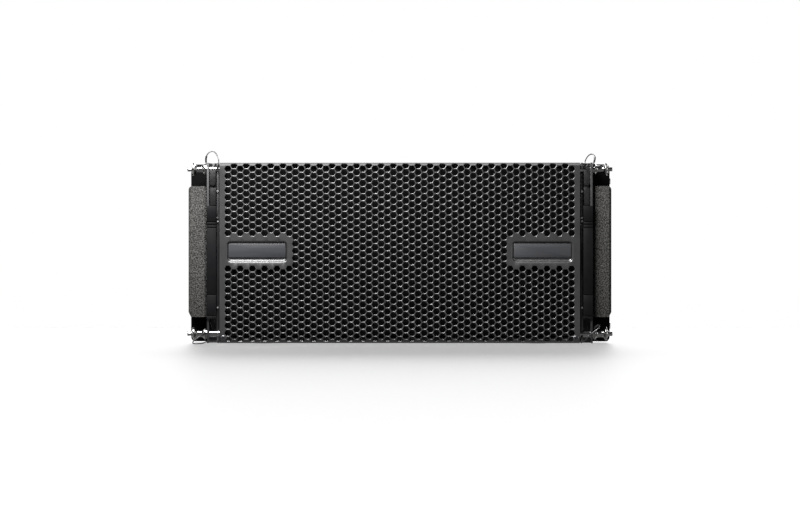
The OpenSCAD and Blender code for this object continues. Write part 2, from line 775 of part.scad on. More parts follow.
module panel_screws() {
    color([0.3, 0.3, 0.32]) {
        for (s = [-1, 1]) {
            for (z = [panel_low + 5, mid_z, panel_top - 5])
                translate([s * (panel_w / 2 - 2), panel_y, z]) screw_head(1.9, 1.8);
            for (z = [panel_low + 3, panel_top - 3])
                translate([s * 100, panel_y, z]) screw_head(1.9, 1.8);
        }
        for (c = sockets, s = [-1, 1])
            translate([c[0] + s * 10, panel_y + flange_t, c[1] - s * 12.8]) screw_head(2.4, 1.2);
    }
}

cabinet_shell();
front_baffle();
grille();
grille_foam();
badge(false);  // badge_left
badge(true);  // badge_right
side_cheek(false);  // side_cheek_left
side_cheek(true);  // side_cheek_right
grip_pads();
rigging_column(false);  // rigging_column_left
rigging_column(true);  // rigging_column_right
column_cover(false);  // column_cover_left
column_cover(true);  // column_cover_right
rear_bracket();
feet();
rigging_screws();
panel_screws();
woofer_basket(false);  // woofer_basket_left
woofer_basket(true);  // woofer_basket_right
woofer_motor(false);  // woofer_motor_left
woofer_motor(true);  // woofer_motor_right
woofer_suspension(false);  // woofer_suspension_left
woofer_suspension(true);  // woofer_suspension_right
woofer_cone(false);  // woofer_cone_left
woofer_cone(true);  // woofer_cone_right
waveguide();
driver_body();
driver_cap();
driver_diaphragm();
amp_panel();
heatsink();
amp_board();
power_supply();
power_sockets();
signal_sockets();
latch(socket_x[0], audio_z);  // audio_latch
latch(socket_x[0], data_z);  // data_latch_in
latch(socket_x[1], data_z);  // data_latch_out
knob(level_z);  // level_knob
knob(preset_z);  // preset_knob
test_button();
usb_cover();
status_lights();
front_link(false);  // front_link_left
front_link(true);  // front_link_right
rear_link();
at_front_pin(false, pin_top_z) ball_pin(pin_long);  // pin_top_left
at_front_pin(true, pin_top_z) ball_pin(pin_long);  // pin_top_right
at_front_pin(false, pin_bottom_z) ball_pin(pin_long, -90);  // pin_bottom_left
at_front_pin(true, pin_bottom_z) ball_pin(pin_long, -40);  // pin_bottom_right
at_rear_pin() ball_pin(rear_pin_long);  // pin_rear
at_front_pin(false, pin_top_z) pin_button();  // button_top_left
at_front_pin(true, pin_top_z) pin_button();  // button_top_right
at_front_pin(false, pin_bottom_z) pin_button();  // button_bottom_left
at_front_pin(true, pin_bottom_z) pin_button();  // button_bottom_right
at_rear_pin() pin_button();  // button_rear
swept_wire(route_top_left, wire_r, [0, 1, 0]);  // lanyard_top_left
swept_wire(route_top_right, wire_r, [0, 1, 0]);  // lanyard_top_right
swept_wire(route_bottom_left, wire_r, [0, 0, 1]);  // lanyard_bottom_left
swept_wire(route_bottom_right, wire_r, [0, 1, 0]);  // lanyard_bottom_right
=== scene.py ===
"""Looks of a compact line array speaker: perforated grille, moulded cheeks, rigging, pins and rear panel."""

import json
import math

import bmesh
import bpy
from mathutils import Matrix, Vector


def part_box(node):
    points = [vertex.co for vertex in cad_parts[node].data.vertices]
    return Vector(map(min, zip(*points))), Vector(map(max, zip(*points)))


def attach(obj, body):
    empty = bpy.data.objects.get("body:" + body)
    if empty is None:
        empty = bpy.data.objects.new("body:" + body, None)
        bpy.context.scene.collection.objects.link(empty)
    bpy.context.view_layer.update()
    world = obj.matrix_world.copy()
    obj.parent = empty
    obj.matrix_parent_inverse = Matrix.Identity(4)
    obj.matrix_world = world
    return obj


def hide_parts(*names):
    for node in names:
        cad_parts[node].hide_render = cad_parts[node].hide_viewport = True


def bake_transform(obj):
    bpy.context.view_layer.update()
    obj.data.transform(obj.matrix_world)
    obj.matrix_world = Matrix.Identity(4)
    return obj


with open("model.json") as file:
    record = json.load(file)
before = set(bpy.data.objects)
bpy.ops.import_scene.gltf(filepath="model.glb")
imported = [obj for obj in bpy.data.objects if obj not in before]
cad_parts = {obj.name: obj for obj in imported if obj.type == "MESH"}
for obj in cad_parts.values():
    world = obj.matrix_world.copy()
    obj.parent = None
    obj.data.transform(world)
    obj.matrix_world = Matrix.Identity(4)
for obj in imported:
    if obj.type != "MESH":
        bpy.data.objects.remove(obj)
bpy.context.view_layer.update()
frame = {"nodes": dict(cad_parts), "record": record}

MM = 0.001
BODY_OF = {node: body for body, nodes in frame["record"]["behaviour"]["bodies"].items() for node in nodes}
SLOT_OF = {part["node"]: part["material_slot"] for part in frame["record"]["subparts"]}
SIDES = ("left", "right")


def point(x, y, z):
    """A point given in millimetres."""
    return Vector((x, y, z)) * MM


# ---------- camera ----------

FRONT_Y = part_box("grille")[0].y
VIEW_DISTANCE = 5.0
VIEW_WIDTH = 1.1024
VIEW_HEIGHT = 0.1144
VIEW_TURN = math.radians(1.1)


def add_camera():
    """A level, long lens view of the front, turned very slightly towards the right side."""
    data = bpy.data.cameras.new("camera")
    data.sensor_width = 36
    data.lens = data.sensor_width * VIEW_DISTANCE / VIEW_WIDTH
    camera = bpy.data.objects.new("camera", data)
    back = Vector((math.sin(VIEW_TURN), -math.cos(VIEW_TURN), 0)) * VIEW_DISTANCE
    camera.location = Vector((0.0006, FRONT_Y, VIEW_HEIGHT)) + back
    camera.rotation_euler = (math.pi / 2, 0, VIEW_TURN)
    bpy.context.scene.collection.objects.link(camera)
    bpy.context.scene.camera = camera


add_camera()

# ---------- materials ----------


def noise(tree, coords, size, detail=3.0, roughness=0.55):
    """Noise whose features are about size metres across."""
    node = tree.nodes.new("ShaderNodeTexNoise")
    node.inputs["Scale"].default_value = 1 / size
    node.inputs["Detail"].default_value = detail
    node.inputs["Roughness"].default_value = roughness
    tree.links.new(coords, node.inputs["Vector"])
    return node.outputs["Fac"]


def cells(tree, coords, size):
    """Rounded cells about size metres across, for a coarse moulded grain."""
    node = tree.nodes.new("ShaderNodeTexVoronoi")
    node.feature = "SMOOTH_F1"
    node.inputs["Scale"].default_value = 1 / size
    tree.links.new(coords, node.inputs["Vector"])
    return node.outputs["Distance"]


def spread(tree, value, low, high, start=0.3, end=0.7):
    """The value from start to end, spread over low to high."""
    node = tree.nodes.new("ShaderNodeMapRange")
    node.inputs["From Min"].default_value = start
    node.inputs["From Max"].default_value = end
    node.inputs["To Min"].default_value = low
    node.inputs["To Max"].default_value = high
    tree.links.new(value, node.inputs["Value"])
    return node.outputs["Result"]


def mixed(tree, factor, first, second):
    """A colour between first and second, each a colour or a socket."""
    node = tree.nodes.new("ShaderNodeMix")
    node.data_type = "RGBA"
    tree.links.new(factor, node.inputs["Factor"])
    for name, value in (("A", first), ("B", second)):
        socket = next(s for s in node.inputs if s.name == name and s.type == "RGBA")
        if isinstance(value, tuple):
            socket.default_value = (*value, 1)
        else:
            tree.links.new(value, socket)
    return next(s for s in node.outputs if s.type == "RGBA")


def bumped(tree, shader, height, depth, normal=None):
    """Gives the shader a bump of depth metres, over any normal it is given."""
    node = tree.nodes.new("ShaderNodeBump")
    node.inputs["Distance"].default_value = depth
    tree.links.new(height, node.inputs["Height"])
    if normal is not None:
        tree.links.new(normal, node.inputs["Normal"])
    tree.links.new(node.outputs["Normal"], shader.inputs["Normal"])


def parts_of(material):
    """A material's node tree, its shader and the coordinates that its textures use."""
    tree = material.node_tree
    coords = next(node for node in tree.nodes if node.type == "MAPPING").outputs["Vector"]
    return tree, tree.nodes["Principled BSDF"], coords


def feeding(socket):
    """The socket that feeds this one."""
    return socket.links[0].from_socket


def along(tree, coords, axis):
    """One coordinate, X, Y or Z."""
    node = tree.nodes.new("ShaderNodeSeparateXYZ")
    tree.links.new(coords, node.inputs["Vector"])
    return node.outputs[axis]


def computed(tree, operation, first, second):
    """A sum, product or the like of two sockets."""
    node = tree.nodes.new("ShaderNodeMath")
    node.operation = operation
    tree.links.new(first, node.inputs[0])
    tree.links.new(second, node.inputs[1])
    return node.outputs["Value"]


def surface(name, color, rough, metal=0.0, tint=0.12, tint_size=0.03, gloss_spread=0.06,
            grain=0.0, grain_size=0.0012, coarse=False, coat=0.0, specular=0.5, stretch=(1, 1, 1)):
    """A finish whose colour and gloss vary a little, with a grain of a real size in its bump."""
    material = bpy.data.materials.new(name)
    material.use_nodes = True
    tree = material.node_tree
    shader = tree.nodes["Principled BSDF"]
    shader.inputs["Metallic"].default_value = metal
    shader.inputs["Specular IOR Level"].default_value = specular
    shader.inputs["Coat Weight"].default_value = coat
    place = tree.nodes.new("ShaderNodeTexCoord").outputs["Object"]
    mapping = tree.nodes.new("ShaderNodeMapping")
    mapping.inputs["Scale"].default_value = stretch
    tree.links.new(place, mapping.inputs["Vector"])
    coords = mapping.outputs["Vector"]
    dark = tuple(c * (1 - tint) for c in color)
    light = tuple(c * (1 + tint) for c in color)
    patches = spread(tree, noise(tree, coords, tint_size), 0, 1)
    tree.links.new(mixed(tree, patches, dark, light), shader.inputs["Base Color"])
    smudges = noise(tree, coords, tint_size * 0.4, detail=5)
    gloss = spread(tree, smudges, rough - gloss_spread, rough + gloss_spread)
    tree.links.new(gloss, shader.inputs["Roughness"])
    if grain:
        height = cells(tree, coords, grain_size) if coarse else noise(tree, coords, grain_size)
        bumped(tree, shader, height, grain)
    return material


BEND_START = 0.2462
BEND_DULL = 0.2475


def grille_paint():
    """Satin paint, rubbed dull along the top bend, where the modules are stacked on each other."""
    material = surface("grille_paint", (0.008, 0.008, 0.0083), 0.38, tint=0.12, tint_size=0.05,
                       gloss_spread=0.03, grain=0.00001, grain_size=0.0012, specular=1.0)
    tree, shader, coords = parts_of(material)
    wear = spread(tree, along(tree, coords, "Z"), 0, 0.45, BEND_START, BEND_DULL)
    rubbed = computed(tree, "ADD", feeding(shader.inputs["Roughness"]), wear)
    tree.links.new(rubbed, shader.inputs["Roughness"])
    return material


GRIP_LOW = 0.0362
GRIP_TOP = 0.2184


def grained_plastic_with_notch_shade():
    """Coarse moulded grain, paler on its high spots; above and below the hand grip, round the recessed pin
    notches, it is smooth and painted near black as shade.
    """
    material = surface("cheek_grain_and_notch_shade", (0.063, 0.0615, 0.0588), 0.6, tint=0.1, grain=0.0004,
                       grain_size=0.0024, coarse=True, specular=0.04)
    tree, shader, coords = parts_of(material)
    pits = spread(tree, noise(tree, coords, 0.0016, detail=3, roughness=0.6), 0, 1, 0.42, 0.6)
    speckled = mixed(tree, pits, (0.008, 0.008, 0.0075), feeding(shader.inputs["Base Color"]))
    grip = tree.nodes.new("ShaderNodeMath")
    grip.operation = "COMPARE"
    tree.links.new(along(tree, coords, "Z"), grip.inputs[0])
    grip.inputs[1].default_value = (GRIP_LOW + GRIP_TOP) / 2
    grip.inputs[2].default_value = (GRIP_TOP - GRIP_LOW) / 2
    on_grip = grip.outputs["Value"]
    # outside the grip the colour is near black: painted shade for the recessed pin notches
    tree.links.new(mixed(tree, on_grip, (0.0015, 0.0015, 0.0015), speckled), shader.inputs["Base Color"])
    tree.links.new(spread(tree, on_grip, 0.9, 0.6, 0, 1), shader.inputs["Roughness"])
    fine_grain = noise(tree, coords, 0.0009, detail=4)
    bumped(tree, shader, fine_grain, 0.00012, feeding(shader.inputs["Normal"]))
    return material


def lens_material():
    """Four small lenses in a row: two green, one amber and one red."""
    material = surface("status_lens", (0.05, 0.4, 0.1), 0.2, tint=0.05, tint_size=0.004, coat=0.5)
    tree, shader, coords = parts_of(material)
    low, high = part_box("status_lights")
    ramp = tree.nodes.new("ShaderNodeValToRGB")
    ramp.color_ramp.interpolation = "CONSTANT"
    stops = ramp.color_ramp.elements
    stops[0].color = (0.03, 0.35, 0.07, 1)
    stops[1].position = 0.5
    stops[1].color = (0.7, 0.35, 0.02, 1)
    stops.new(0.75).color = (0.5, 0.02, 0.015, 1)
    tree.links.new(spread(tree, along(tree, coords, "X"), 0, 1, low.x, high.x), ramp.inputs["Fac"])
    tree.links.new(ramp.outputs["Color"], shader.inputs["Base Color"])
    return material


FINISH = {
    "cabinet_plastic": surface("cabinet_grain", (0.016, 0.016, 0.017), 0.5, grain=0.0001, grain_size=0.0011),
    "baffle_black": surface("baffle_black", (0.012, 0.012, 0.012), 0.6, grain=0.00005, grain_size=0.0008),
    "grille_steel": grille_paint(),
    "foam": surface("foam_black", (0.003, 0.003, 0.003), 0.95, grain=0.0006, grain_size=0.0009, coarse=True,
                    specular=0.03),
    "badge_metal": surface("badge_satin", (0.016, 0.0165, 0.0192), 0.45, tint=0.06, tint_size=0.006,
                           gloss_spread=0.05, grain=0.00001, grain_size=0.0003, stretch=(0.04, 1, 1)),
    "cheek_plastic": grained_plastic_with_notch_shade(),
    "pad_rubber": surface("pad_rubber", (0.012, 0.012, 0.012), 0.75, grain=0.0001, grain_size=0.001),
    "rigging_steel": surface("rigging_paint", (0.01, 0.01, 0.011), 0.4, grain=0.00004, grain_size=0.0009),
    "cover_plastic": surface("cover_satin", (0.003, 0.003, 0.0034), 0.5, specular=0.08, tint=0.06,
                             grain=0.00002, grain_size=0.0007),
    "foot_rubber": surface("foot_rubber", (0.013, 0.013, 0.013), 0.8, grain=0.0001, grain_size=0.0012),
    "screw_steel": surface("screw_zinc", (0.6, 0.6, 0.6), 0.3, metal=1, tint=0.08, tint_size=0.003),
    "panel_screw_steel": surface("screw_oxide", (0.09, 0.09, 0.095), 0.35, metal=1, tint=0.1,
                                 tint_size=0.003),
    "basket_paint": surface("basket_paint", (0.02, 0.02, 0.02), 0.45, grain=0.00005),
    "motor_steel": surface("motor_plate", (0.45, 0.44, 0.42), 0.35, metal=1, tint=0.12, tint_size=0.02),
    "suspension_rubber": surface("suspension", (0.012, 0.012, 0.012), 0.6, grain=0.00008, grain_size=0.0007),
    "cone_paper": surface("cone_pulp", (0.02, 0.02, 0.021), 0.85, tint=0.2, tint_size=0.008, grain=0.0002,
                          grain_size=0.0016),
    "horn_plastic": surface("horn_satin", (0.015, 0.015, 0.015), 0.45, grain=0.00003, grain_size=0.0009),
    "driver_paint": surface("driver_paint", (0.22, 0.22, 0.23), 0.4, metal=0.4, tint=0.08),
    "driver_cap_plastic": surface("driver_cap", (0.02, 0.02, 0.02), 0.5, grain=0.00006),
    "diaphragm_metal": surface("diaphragm", (0.7, 0.7, 0.73), 0.25, metal=1, tint=0.04),
    "panel_paint": surface("panel_paint", (0.026, 0.027, 0.029), 0.5, tint=0.1, grain=0.00012,
                           grain_size=0.0009, coarse=True),
    "heatsink_aluminium": surface("heatsink_anodised", (0.022, 0.022, 0.024), 0.36, metal=0.6, tint=0.1,
                                  grain=0.00001, grain_size=0.0003, stretch=(1, 1, 0.03)),
    "board_green": surface("board_mask", (0.01, 0.1, 0.035), 0.35, coat=0.3, tint=0.2, tint_size=0.006),
    "supply_aluminium": surface("supply_sheet", (0.6, 0.6, 0.62), 0.4, metal=1, tint=0.06),
    "power_socket_plastic": surface("socket_nylon", (0.4, 0.41, 0.43), 0.45, tint=0.05, grain=0.00003,
                                    grain_size=0.0008),
    "socket_metal": surface("socket_nickel", (0.3, 0.3, 0.31), 0.34, metal=0.9, tint=0.1, tint_size=0.006),
    "latch_steel": surface("latch_polished", (0.7, 0.7, 0.71), 0.2, metal=1, tint=0.05, tint_size=0.004),
    "knob_plastic": surface("knob_black", (0.022, 0.022, 0.022), 0.45, grain=0.00004, grain_size=0.0006),
    "button_plastic": surface("button_black", (0.03, 0.03, 0.03), 0.25, tint=0.08, coat=0.2),
    "cover_rubber": surface("port_rubber", (0.015, 0.015, 0.015), 0.7, grain=0.00006, grain_size=0.0007),
    "light_lens": lens_material(),
    "link_steel": surface("link_zinc", (0.008, 0.008, 0.0084), 0.36, specular=0.25, tint=0.25,
                          tint_size=0.006, gloss_spread=0.1, grain=0.00003, grain_size=0.0008),
    "pin_steel": surface("pin_chrome", (0.26, 0.258, 0.255), 0.2, metal=1, tint=0.06, tint_size=0.004,
                         gloss_spread=0.05),
    "pin_button_steel": surface("button_chrome", (0.32, 0.317, 0.314), 0.18, metal=1, tint=0.05,
                                tint_size=0.003, gloss_spread=0.04),
    "lanyard_wire": surface("wire_coating", (0.01, 0.01, 0.01), 0.3, tint=0.1, tint_size=0.004, coat=0.2),
}

# ---------- mesh tools ----------


def paint(piece, slot):
    """Gives a piece the finish of one of the record's slots."""
    piece.data.materials.clear()
    piece.data.materials.append(FINISH[slot])
    return piece


def smooth(piece, angle=32):
    """Smooth shading, with creases sharper than angle kept."""
    for face in piece.data.polygons:
        face.use_smooth = True
    piece.data.set_sharp_from_angle(angle=math.radians(angle))
    return piece


def from_bmesh(name, mesh):
    """A new object that holds the bmesh, which is freed."""
    data = bpy.data.meshes.new(name)
    mesh.to_mesh(data)
    mesh.free()
    piece = bpy.data.objects.new(name, data)
    bpy.context.scene.collection.objects.link(piece)
    return piece


def applied(piece):
    """Bakes the piece's modifiers into its mesh."""
    bpy.context.view_layer.update()
    evaluated = piece.evaluated_get(bpy.context.evaluated_depsgraph_get())
    data = bpy.data.meshes.new_from_object(evaluated)
    piece.modifiers.clear()
    piece.data = data
    return piece


def add_piece(piece, slot, body, *nodes):
    """Paints a new piece, rides it on its body and lets it stand for CAD nodes."""
    paint(piece, slot)
    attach(piece, body)
    if nodes:
        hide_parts(*nodes)
    return piece


def rounded_node(node, width, segments=2, angle=28):
    """A copy of a CAD node with its edges rounded, which stands for it."""
    mesh = bmesh.new()
    mesh.from_mesh(frame["nodes"][node].data)
    bmesh.ops.remove_doubles(mesh, verts=mesh.verts, dist=2e-6)
    bmesh.ops.dissolve_limit(mesh, angle_limit=math.radians(1), verts=mesh.verts, edges=mesh.edges)
    piece = from_bmesh(node + "_rounded", mesh)
    bevel = piece.modifiers.new("bevel", "BEVEL")
    bevel.width = width * MM
    bevel.segments = segments
    bevel.limit_method = "ANGLE"
    bevel.angle_limit = math.radians(angle)
    bevel.use_clamp_overlap = True
    smooth(applied(piece), 40)
    return add_piece(piece, SLOT_OF[node], BODY_OF[node], node)


def basis(axis):
    """Two unit vectors that make a right handed set with axis."""
    across = Vector((0, 0, 1)) if abs(axis.z) < 0.9 else Vector((1, 0, 0))
    first = across.cross(axis).normalized()
    return first, axis.cross(first)


def lathe(name, profile, origin, axis, segments=48):
    """A closed shape turned from (distance along the axis, radius) points in millimetres."""
    axis = axis.normalized()
    first, second = basis(axis)
    mesh = bmesh.new()
    rings = []
    for along, radius in profile:
        centre = origin + axis * along * MM
        if radius < 1e-6:
            rings.append([mesh.verts.new(centre)] * segments)
            continue
        turns = [2 * math.pi * i / segments for i in range(segments)]
        rings.append([mesh.verts.new(centre + (first * math.cos(t) + second * math.sin(t)) * radius * MM)
                      for t in turns])
    for low, high in zip(rings, rings[1:]):
        for i in range(segments):
            corners = [low[i], low[(i + 1) % segments], high[(i + 1) % segments], high[i]]
            unique = list(dict.fromkeys(corners))
            if len(unique) > 2:
                mesh.faces.new(unique)
    bmesh.ops.recalc_face_normals(mesh, faces=mesh.faces)
    return smooth(from_bmesh(name, mesh), 35)


def curve_through(route, steps):
    """Points of a smooth curve through the route's own points."""
    points = []
    for i in range(len(route) - 1):
        p0, p1, p2, p3 = (route[max(0, min(len(route) - 1, i + k))] for k in (-1, 0, 1, 2))
        for j in range(steps):
            t = j / steps
            points.append(0.5 * (2 * p1 + (p2 - p0) * t + (2 * p0 - 5 * p1 + 4 * p2 - p3) * t * t
                                 + (3 * p1 - p0 - 3 * p2 + p3) * t ** 3))
    return points + [route[-1]]


def tube(name, path, radius, sides=12, lobes=0, twist=0.0):
    """A round tube along the path, or a stranded one whose lobes turn once in every twist metres."""
    mesh = bmesh.new()
    tangent = (path[1] - path[0]).normalized()
    across, _ = basis(tangent)
    rings = []
    run = 0.0
    for i, centre in enumerate(path):
        following = path[min(i + 1, len(path) - 1)] - path[max(i - 1, 0)]
        tangent = following.normalized()
        across = (across - tangent * across.dot(tangent)).normalized()
        up = tangent.cross(across)
        run += (path[i] - path[i - 1]).length if i else 0
        ring = []
        for k in range(sides):
            t = 2 * math.pi * k / sides
            turn = 2 * math.pi * run / twist if twist else 0
            r = radius * (1 - 0.06 * (1 - math.cos(lobes * (t + turn)))) if lobes else radius
            ring.append(mesh.verts.new(centre + (across * math.cos(t) + up * math.sin(t)) * r))
        rings.append(ring)
    for low, high in zip(rings, rings[1:]):
        for k in range(sides):
            m = (k + 1) % sides
            mesh.faces.new((low[k], low[m], high[m], high[k]))
    mesh.faces.new(rings[0][::-1])
    mesh.faces.new(rings[-1])
    bmesh.ops.recalc_face_normals(mesh, faces=mesh.faces)
    return smooth(from_bmesh(name, mesh), 60)


# ---------- lanyards ----------

WIRE_R = 0.0008
ROUTES = {
    "top_left": [
        (-267.6, -193, 248.3), (-267.9, -193, 251.5), (-268, -192.9, 255), (-267.5, -192.7, 258.5),
        (-266, -192.4, 261.9), (-263.4, -192, 264.7), (-259.9, -191.8, 266.1), (-256.4, -192, 265.2),
        (-253.8, -192.5, 262.5), (-252, -193.3, 259.2), (-250.8, -194.6, 256), (-250.1, -196.4, 253.1),
        (-249.8, -198.7, 250.6), (-250, -201.3, 248.9), (-250.4, -203.8, 247.9), (-250.8, -204.4, 245.8)],
    "top_right": [
        (267.6, -193, 248.3), (268.3, -193, 251.2), (269.1, -192.8, 254.4), (269.3, -192.2, 257.6),
        (268.3, -191, 260.4), (266.1, -189.2, 261.9), (263.3, -187, 261.7), (260.9, -184.6, 260.1),
        (259, -181.9, 257.9), (257.6, -179, 255.6), (256.8, -175.9, 253.7), (256.5, -172.6, 252.4),
        (256.7, -169.3, 251.7), (257, -166.2, 251.4)],
    "bottom_left": [
        (-267.6, -201, 14), (-268.1, -204.5, 14.4), (-269.6, -208, 14.2), (-272.3, -211.2, 12.6),
        (-275.8, -214, 10.2), (-279.6, -216.6, 7.3), (-282.8, -219.6, 4.5), (-284, -223.4, 2.2),
        (-282.6, -227, 1.1), (-279.2, -228.8, 0.9), (-275.4, -227.8, 0.9), (-272.2, -225, 1),
        (-269.8, -221.4, 1.5), (-267.8, -217.4, 2.4), (-265.8, -213.2, 3.2), (-263, -209.6, 3.6),
        (-259.4, -206.8, 3.6), (-255.4, -205, 3.5), (-251.5, -203.9, 3.4)],
    "bottom_right": [
        (267.6, -198.4, 20.5), (269.4, -200.6, 23), (272, -202.6, 25.2), (274.6, -205, 25.6),
        (274.8, -207.4, 23.4), (272.4, -208.8, 20.8), (269.2, -209, 18.2), (265.8, -208.8, 15.4),
        (262.4, -208.2, 12.4), (259.4, -207.2, 9.4), (256.8, -206, 6.6), (254.2, -204.9, 4.2),
        (251.6, -203.9, 2.4)],
}


def add_lanyard(name, route):
    """A coated wire from a pin's ear to the column, with a crimped sleeve near the pin."""
    path = curve_through([point(*p) for p in route], 4)
    wire = tube("lanyard_" + name + "_wire", path, WIRE_R, sides=12, lobes=6, twist=0.012)
    paint(wire, "lanyard_wire")
    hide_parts("lanyard_" + name)
    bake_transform(wire)
    sleeve_path = path[3:14]
    sleeve = tube("lanyard_" + name + "_sleeve", sleeve_path, WIRE_R * 1.75, sides=16)
    add_piece(sleeve, "lanyard_wire", "pin_" + name)


for name, route in ROUTES.items():
    add_lanyard(name, route)

# ---------- perforated grille ----------

COLUMN_PITCH = 8.461
ROW_PITCH = 9.84
FIRST_ROW = 241.3
HOLE_FLATS = 8.1
COLUMNS = 28
BADGE_COLUMNS = 10
BADGE_ROWS = 21
PATTERN_LOW = 4
PATTERN_TOP = 248
SHEET_T = 1.5
EDGE_R = 0.75
FLAT_TOP = 246
FLAT_LOW = 12
TOP_R = 4
LOW_R = 11
TRAY_X = 196.7
TRAY_Z = 127.3
TRAY_WIDTH = 84
TRAY_HEIGHT = 29.2
TRAY_CORNER = 5
TRAY_DEPTH = 3
BEND_STEPS = 6
SCREW_X = 243.2
SCREW_Z = 7.6
SCREW_DEPTH = 0.9


def folded(flat):
    """Where a point of the flat sheet goes: x is across, y up and round the bends, z into the thickness."""
    front = FRONT_Y / MM
    u, v, depth = flat
    if v > FLAT_TOP:
        run = v - FLAT_TOP
        a = min(run / TOP_R, math.pi / 2)
        y = front + TOP_R - (TOP_R - depth) * math.cos(a) + max(0, run - TOP_R * math.pi / 2)
        return point(u, y, FLAT_TOP + (TOP_R - depth) * math.sin(a))
    if v < FLAT_LOW:
        run = FLAT_LOW - v
        a = min(run / LOW_R, math.pi / 2)
        y = front + LOW_R - (LOW_R - depth) * math.cos(a) + max(0, run - LOW_R * math.pi / 2)
        return point(u, y, FLAT_LOW - (LOW_R - depth) * math.sin(a))
    return point(u, front + tray_depth(u, v) + depth, v)


def tray_depth(u, v):
    """How far the pressed trays for the badges lie behind the sheet's face."""
    dx = abs(abs(u) - TRAY_X) - TRAY_WIDTH / 2 + TRAY_CORNER
    dz = abs(v - TRAY_Z) - TRAY_HEIGHT / 2 + TRAY_CORNER
    distance = math.hypot(max(dx, 0), max(dz, 0)) + min(max(dx, dz), 0) - TRAY_CORNER
    t = min(max(-distance / TRAY_DEPTH, 0), 1)
    return TRAY_DEPTH * t * t * (3 - 2 * t)


def is_plain(i, v):
    """True for a cell of column i at height v with no hole: outside the pattern, or round a badge."""
    in_rows = PATTERN_LOW < v < PATTERN_TOP
    near_badge = abs(i) >= COLUMNS - BADGE_COLUMNS and abs(v - TRAY_Z - 1) < BADGE_ROWS
    return abs(i) > COLUMNS or not in_rows or near_badge


def hexagon(mesh, cx, cy, inset, depth):
    """The corners of a flat topped hexagon, inset from the pattern's own cell."""
    share = 1 - 2 * inset / ROW_PITCH
    width = COLUMN_PITCH / 1.5 * share
    height = ROW_PITCH / math.sqrt(3) * share
    turns = [k * math.pi / 3 for k in range(6)]
    return [mesh.verts.new((cx + width * math.cos(t), cy + height * math.sin(t), depth)) for t in turns]


def add_cell(mesh, cx, cy, plain):
    """One cell of the sheet: plain, or a hole whose front edge is rounded."""
    front = hexagon(mesh, cx, cy, 0, 0)
    back = hexagon(mesh, cx, cy, 0, SHEET_T)
    if plain:
        mesh.faces.new(front)
        mesh.faces.new(back[::-1])
        return
    web = (ROW_PITCH - HOLE_FLATS) / 2
    rings = [front]
    for turn in (0, 30, 60, 90):
        t = math.radians(turn)
        rings.append(hexagon(mesh, cx, cy, web - EDGE_R * (1 - math.sin(t)), EDGE_R * (1 - math.cos(t))))
    rings += [hexagon(mesh, cx, cy, web, SHEET_T), back]
    for outer, inner in zip(rings, rings[1:]):
        for k in range(6):
            m = (k + 1) % 6
            mesh.faces.new((outer[k], outer[m], inner[m], inner[k]))


def cut(mesh, origin, normal, faces=None, clear=False):
    """Cuts the flat sheet, or only these faces, along a line; with clear, drops what lies beyond it."""
    faces = list(mesh.faces) if faces is None else faces
    edges = {e for f in faces for e in f.edges}
    verts = {v for f in faces for v in f.verts}
    bmesh.ops.bisect_plane(mesh, geom=[*faces, *edges, *verts], dist=1e-5, plane_co=origin,
                           plane_no=normal, clear_outer=clear)


def near_tray(mesh, side, margin=6):
    """The faces of the flat sheet in and round one side's tray."""
    found = []
    for face in mesh.faces:
        centre = face.calc_center_median()
        across = abs(centre.x - side * TRAY_X) < TRAY_WIDTH / 2 + margin
        if across and abs(centre.y - TRAY_Z) < TRAY_HEIGHT / 2 + margin:
            found.append(face)
    return found


def cut_for_trays(mesh):
    """Adds the lines that let the sheet follow the sloping walls of the trays."""
    for side in (-1, 1):
        for step in (0, 0.6, 1.2, 1.8, 2.4, 3, 5):
            for end in (-1, 1):
                x = side * TRAY_X + end * (TRAY_WIDTH / 2 - step)
                cut(mesh, (x, 0, 0), (1, 0, 0), near_tray(mesh, side))
                y = TRAY_Z + end * (TRAY_HEIGHT / 2 - step)
                cut(mesh, (0, y, 0), (0, 1, 0), near_tray(mesh, side))


def flat_sheet(half, top, bottom):
    """The flat perforated sheet, closed at its edges, with lines where it will bend."""
    mesh = bmesh.new()
    rows = math.ceil((FIRST_ROW - bottom) / ROW_PITCH) + 2
    for i in range(-COLUMNS - 3, COLUMNS + 4):
        first = FIRST_ROW + (i % 2) * ROW_PITCH / 2
        for k in range(-4, rows):
            v = first - ROW_PITCH * k
            add_cell(mesh, i * COLUMN_PITCH, v, is_plain(i, v))
    bmesh.ops.remove_doubles(mesh, verts=mesh.verts, dist=1e-3)
    cut(mesh, (half, 0, 0), (1, 0, 0), clear=True)
    cut(mesh, (-half, 0, 0), (-1, 0, 0), clear=True)
    cut(mesh, (0, top, 0), (0, 1, 0), clear=True)
    cut(mesh, (0, bottom, 0), (0, -1, 0), clear=True)
    bmesh.ops.bridge_loops(mesh, edges=[e for e in mesh.edges if e.is_boundary])
    for j in range(BEND_STEPS + 1):
        cut(mesh, (0, FLAT_TOP + TOP_R * math.pi / 2 * j / BEND_STEPS, 0), (0, 1, 0))
        cut(mesh, (0, FLAT_LOW - LOW_R * math.pi / 2 * j / BEND_STEPS, 0), (0, 1, 0))
    cut_for_trays(mesh)
    return mesh


def add_grille():
    """The folded sheet, from its back edge over the top, down the front and under."""
    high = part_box("grille")[1] / MM
    front = FRONT_Y / MM
    top = FLAT_TOP + TOP_R * math.pi / 2 + high.y - (front + TOP_R)
    bottom = FLAT_LOW - LOW_R * math.pi / 2 - (high.y - (front + LOW_R))
    mesh = flat_sheet(high.x, top, bottom)
    for vert in mesh.verts:
        vert.co = folded(vert.co)
    bmesh.ops.recalc_face_normals(mesh, faces=mesh.faces)
    grille = smooth(from_bmesh("grille_hex", mesh), 44)
    add_piece(grille, "grille_steel", "cabinet", "grille")


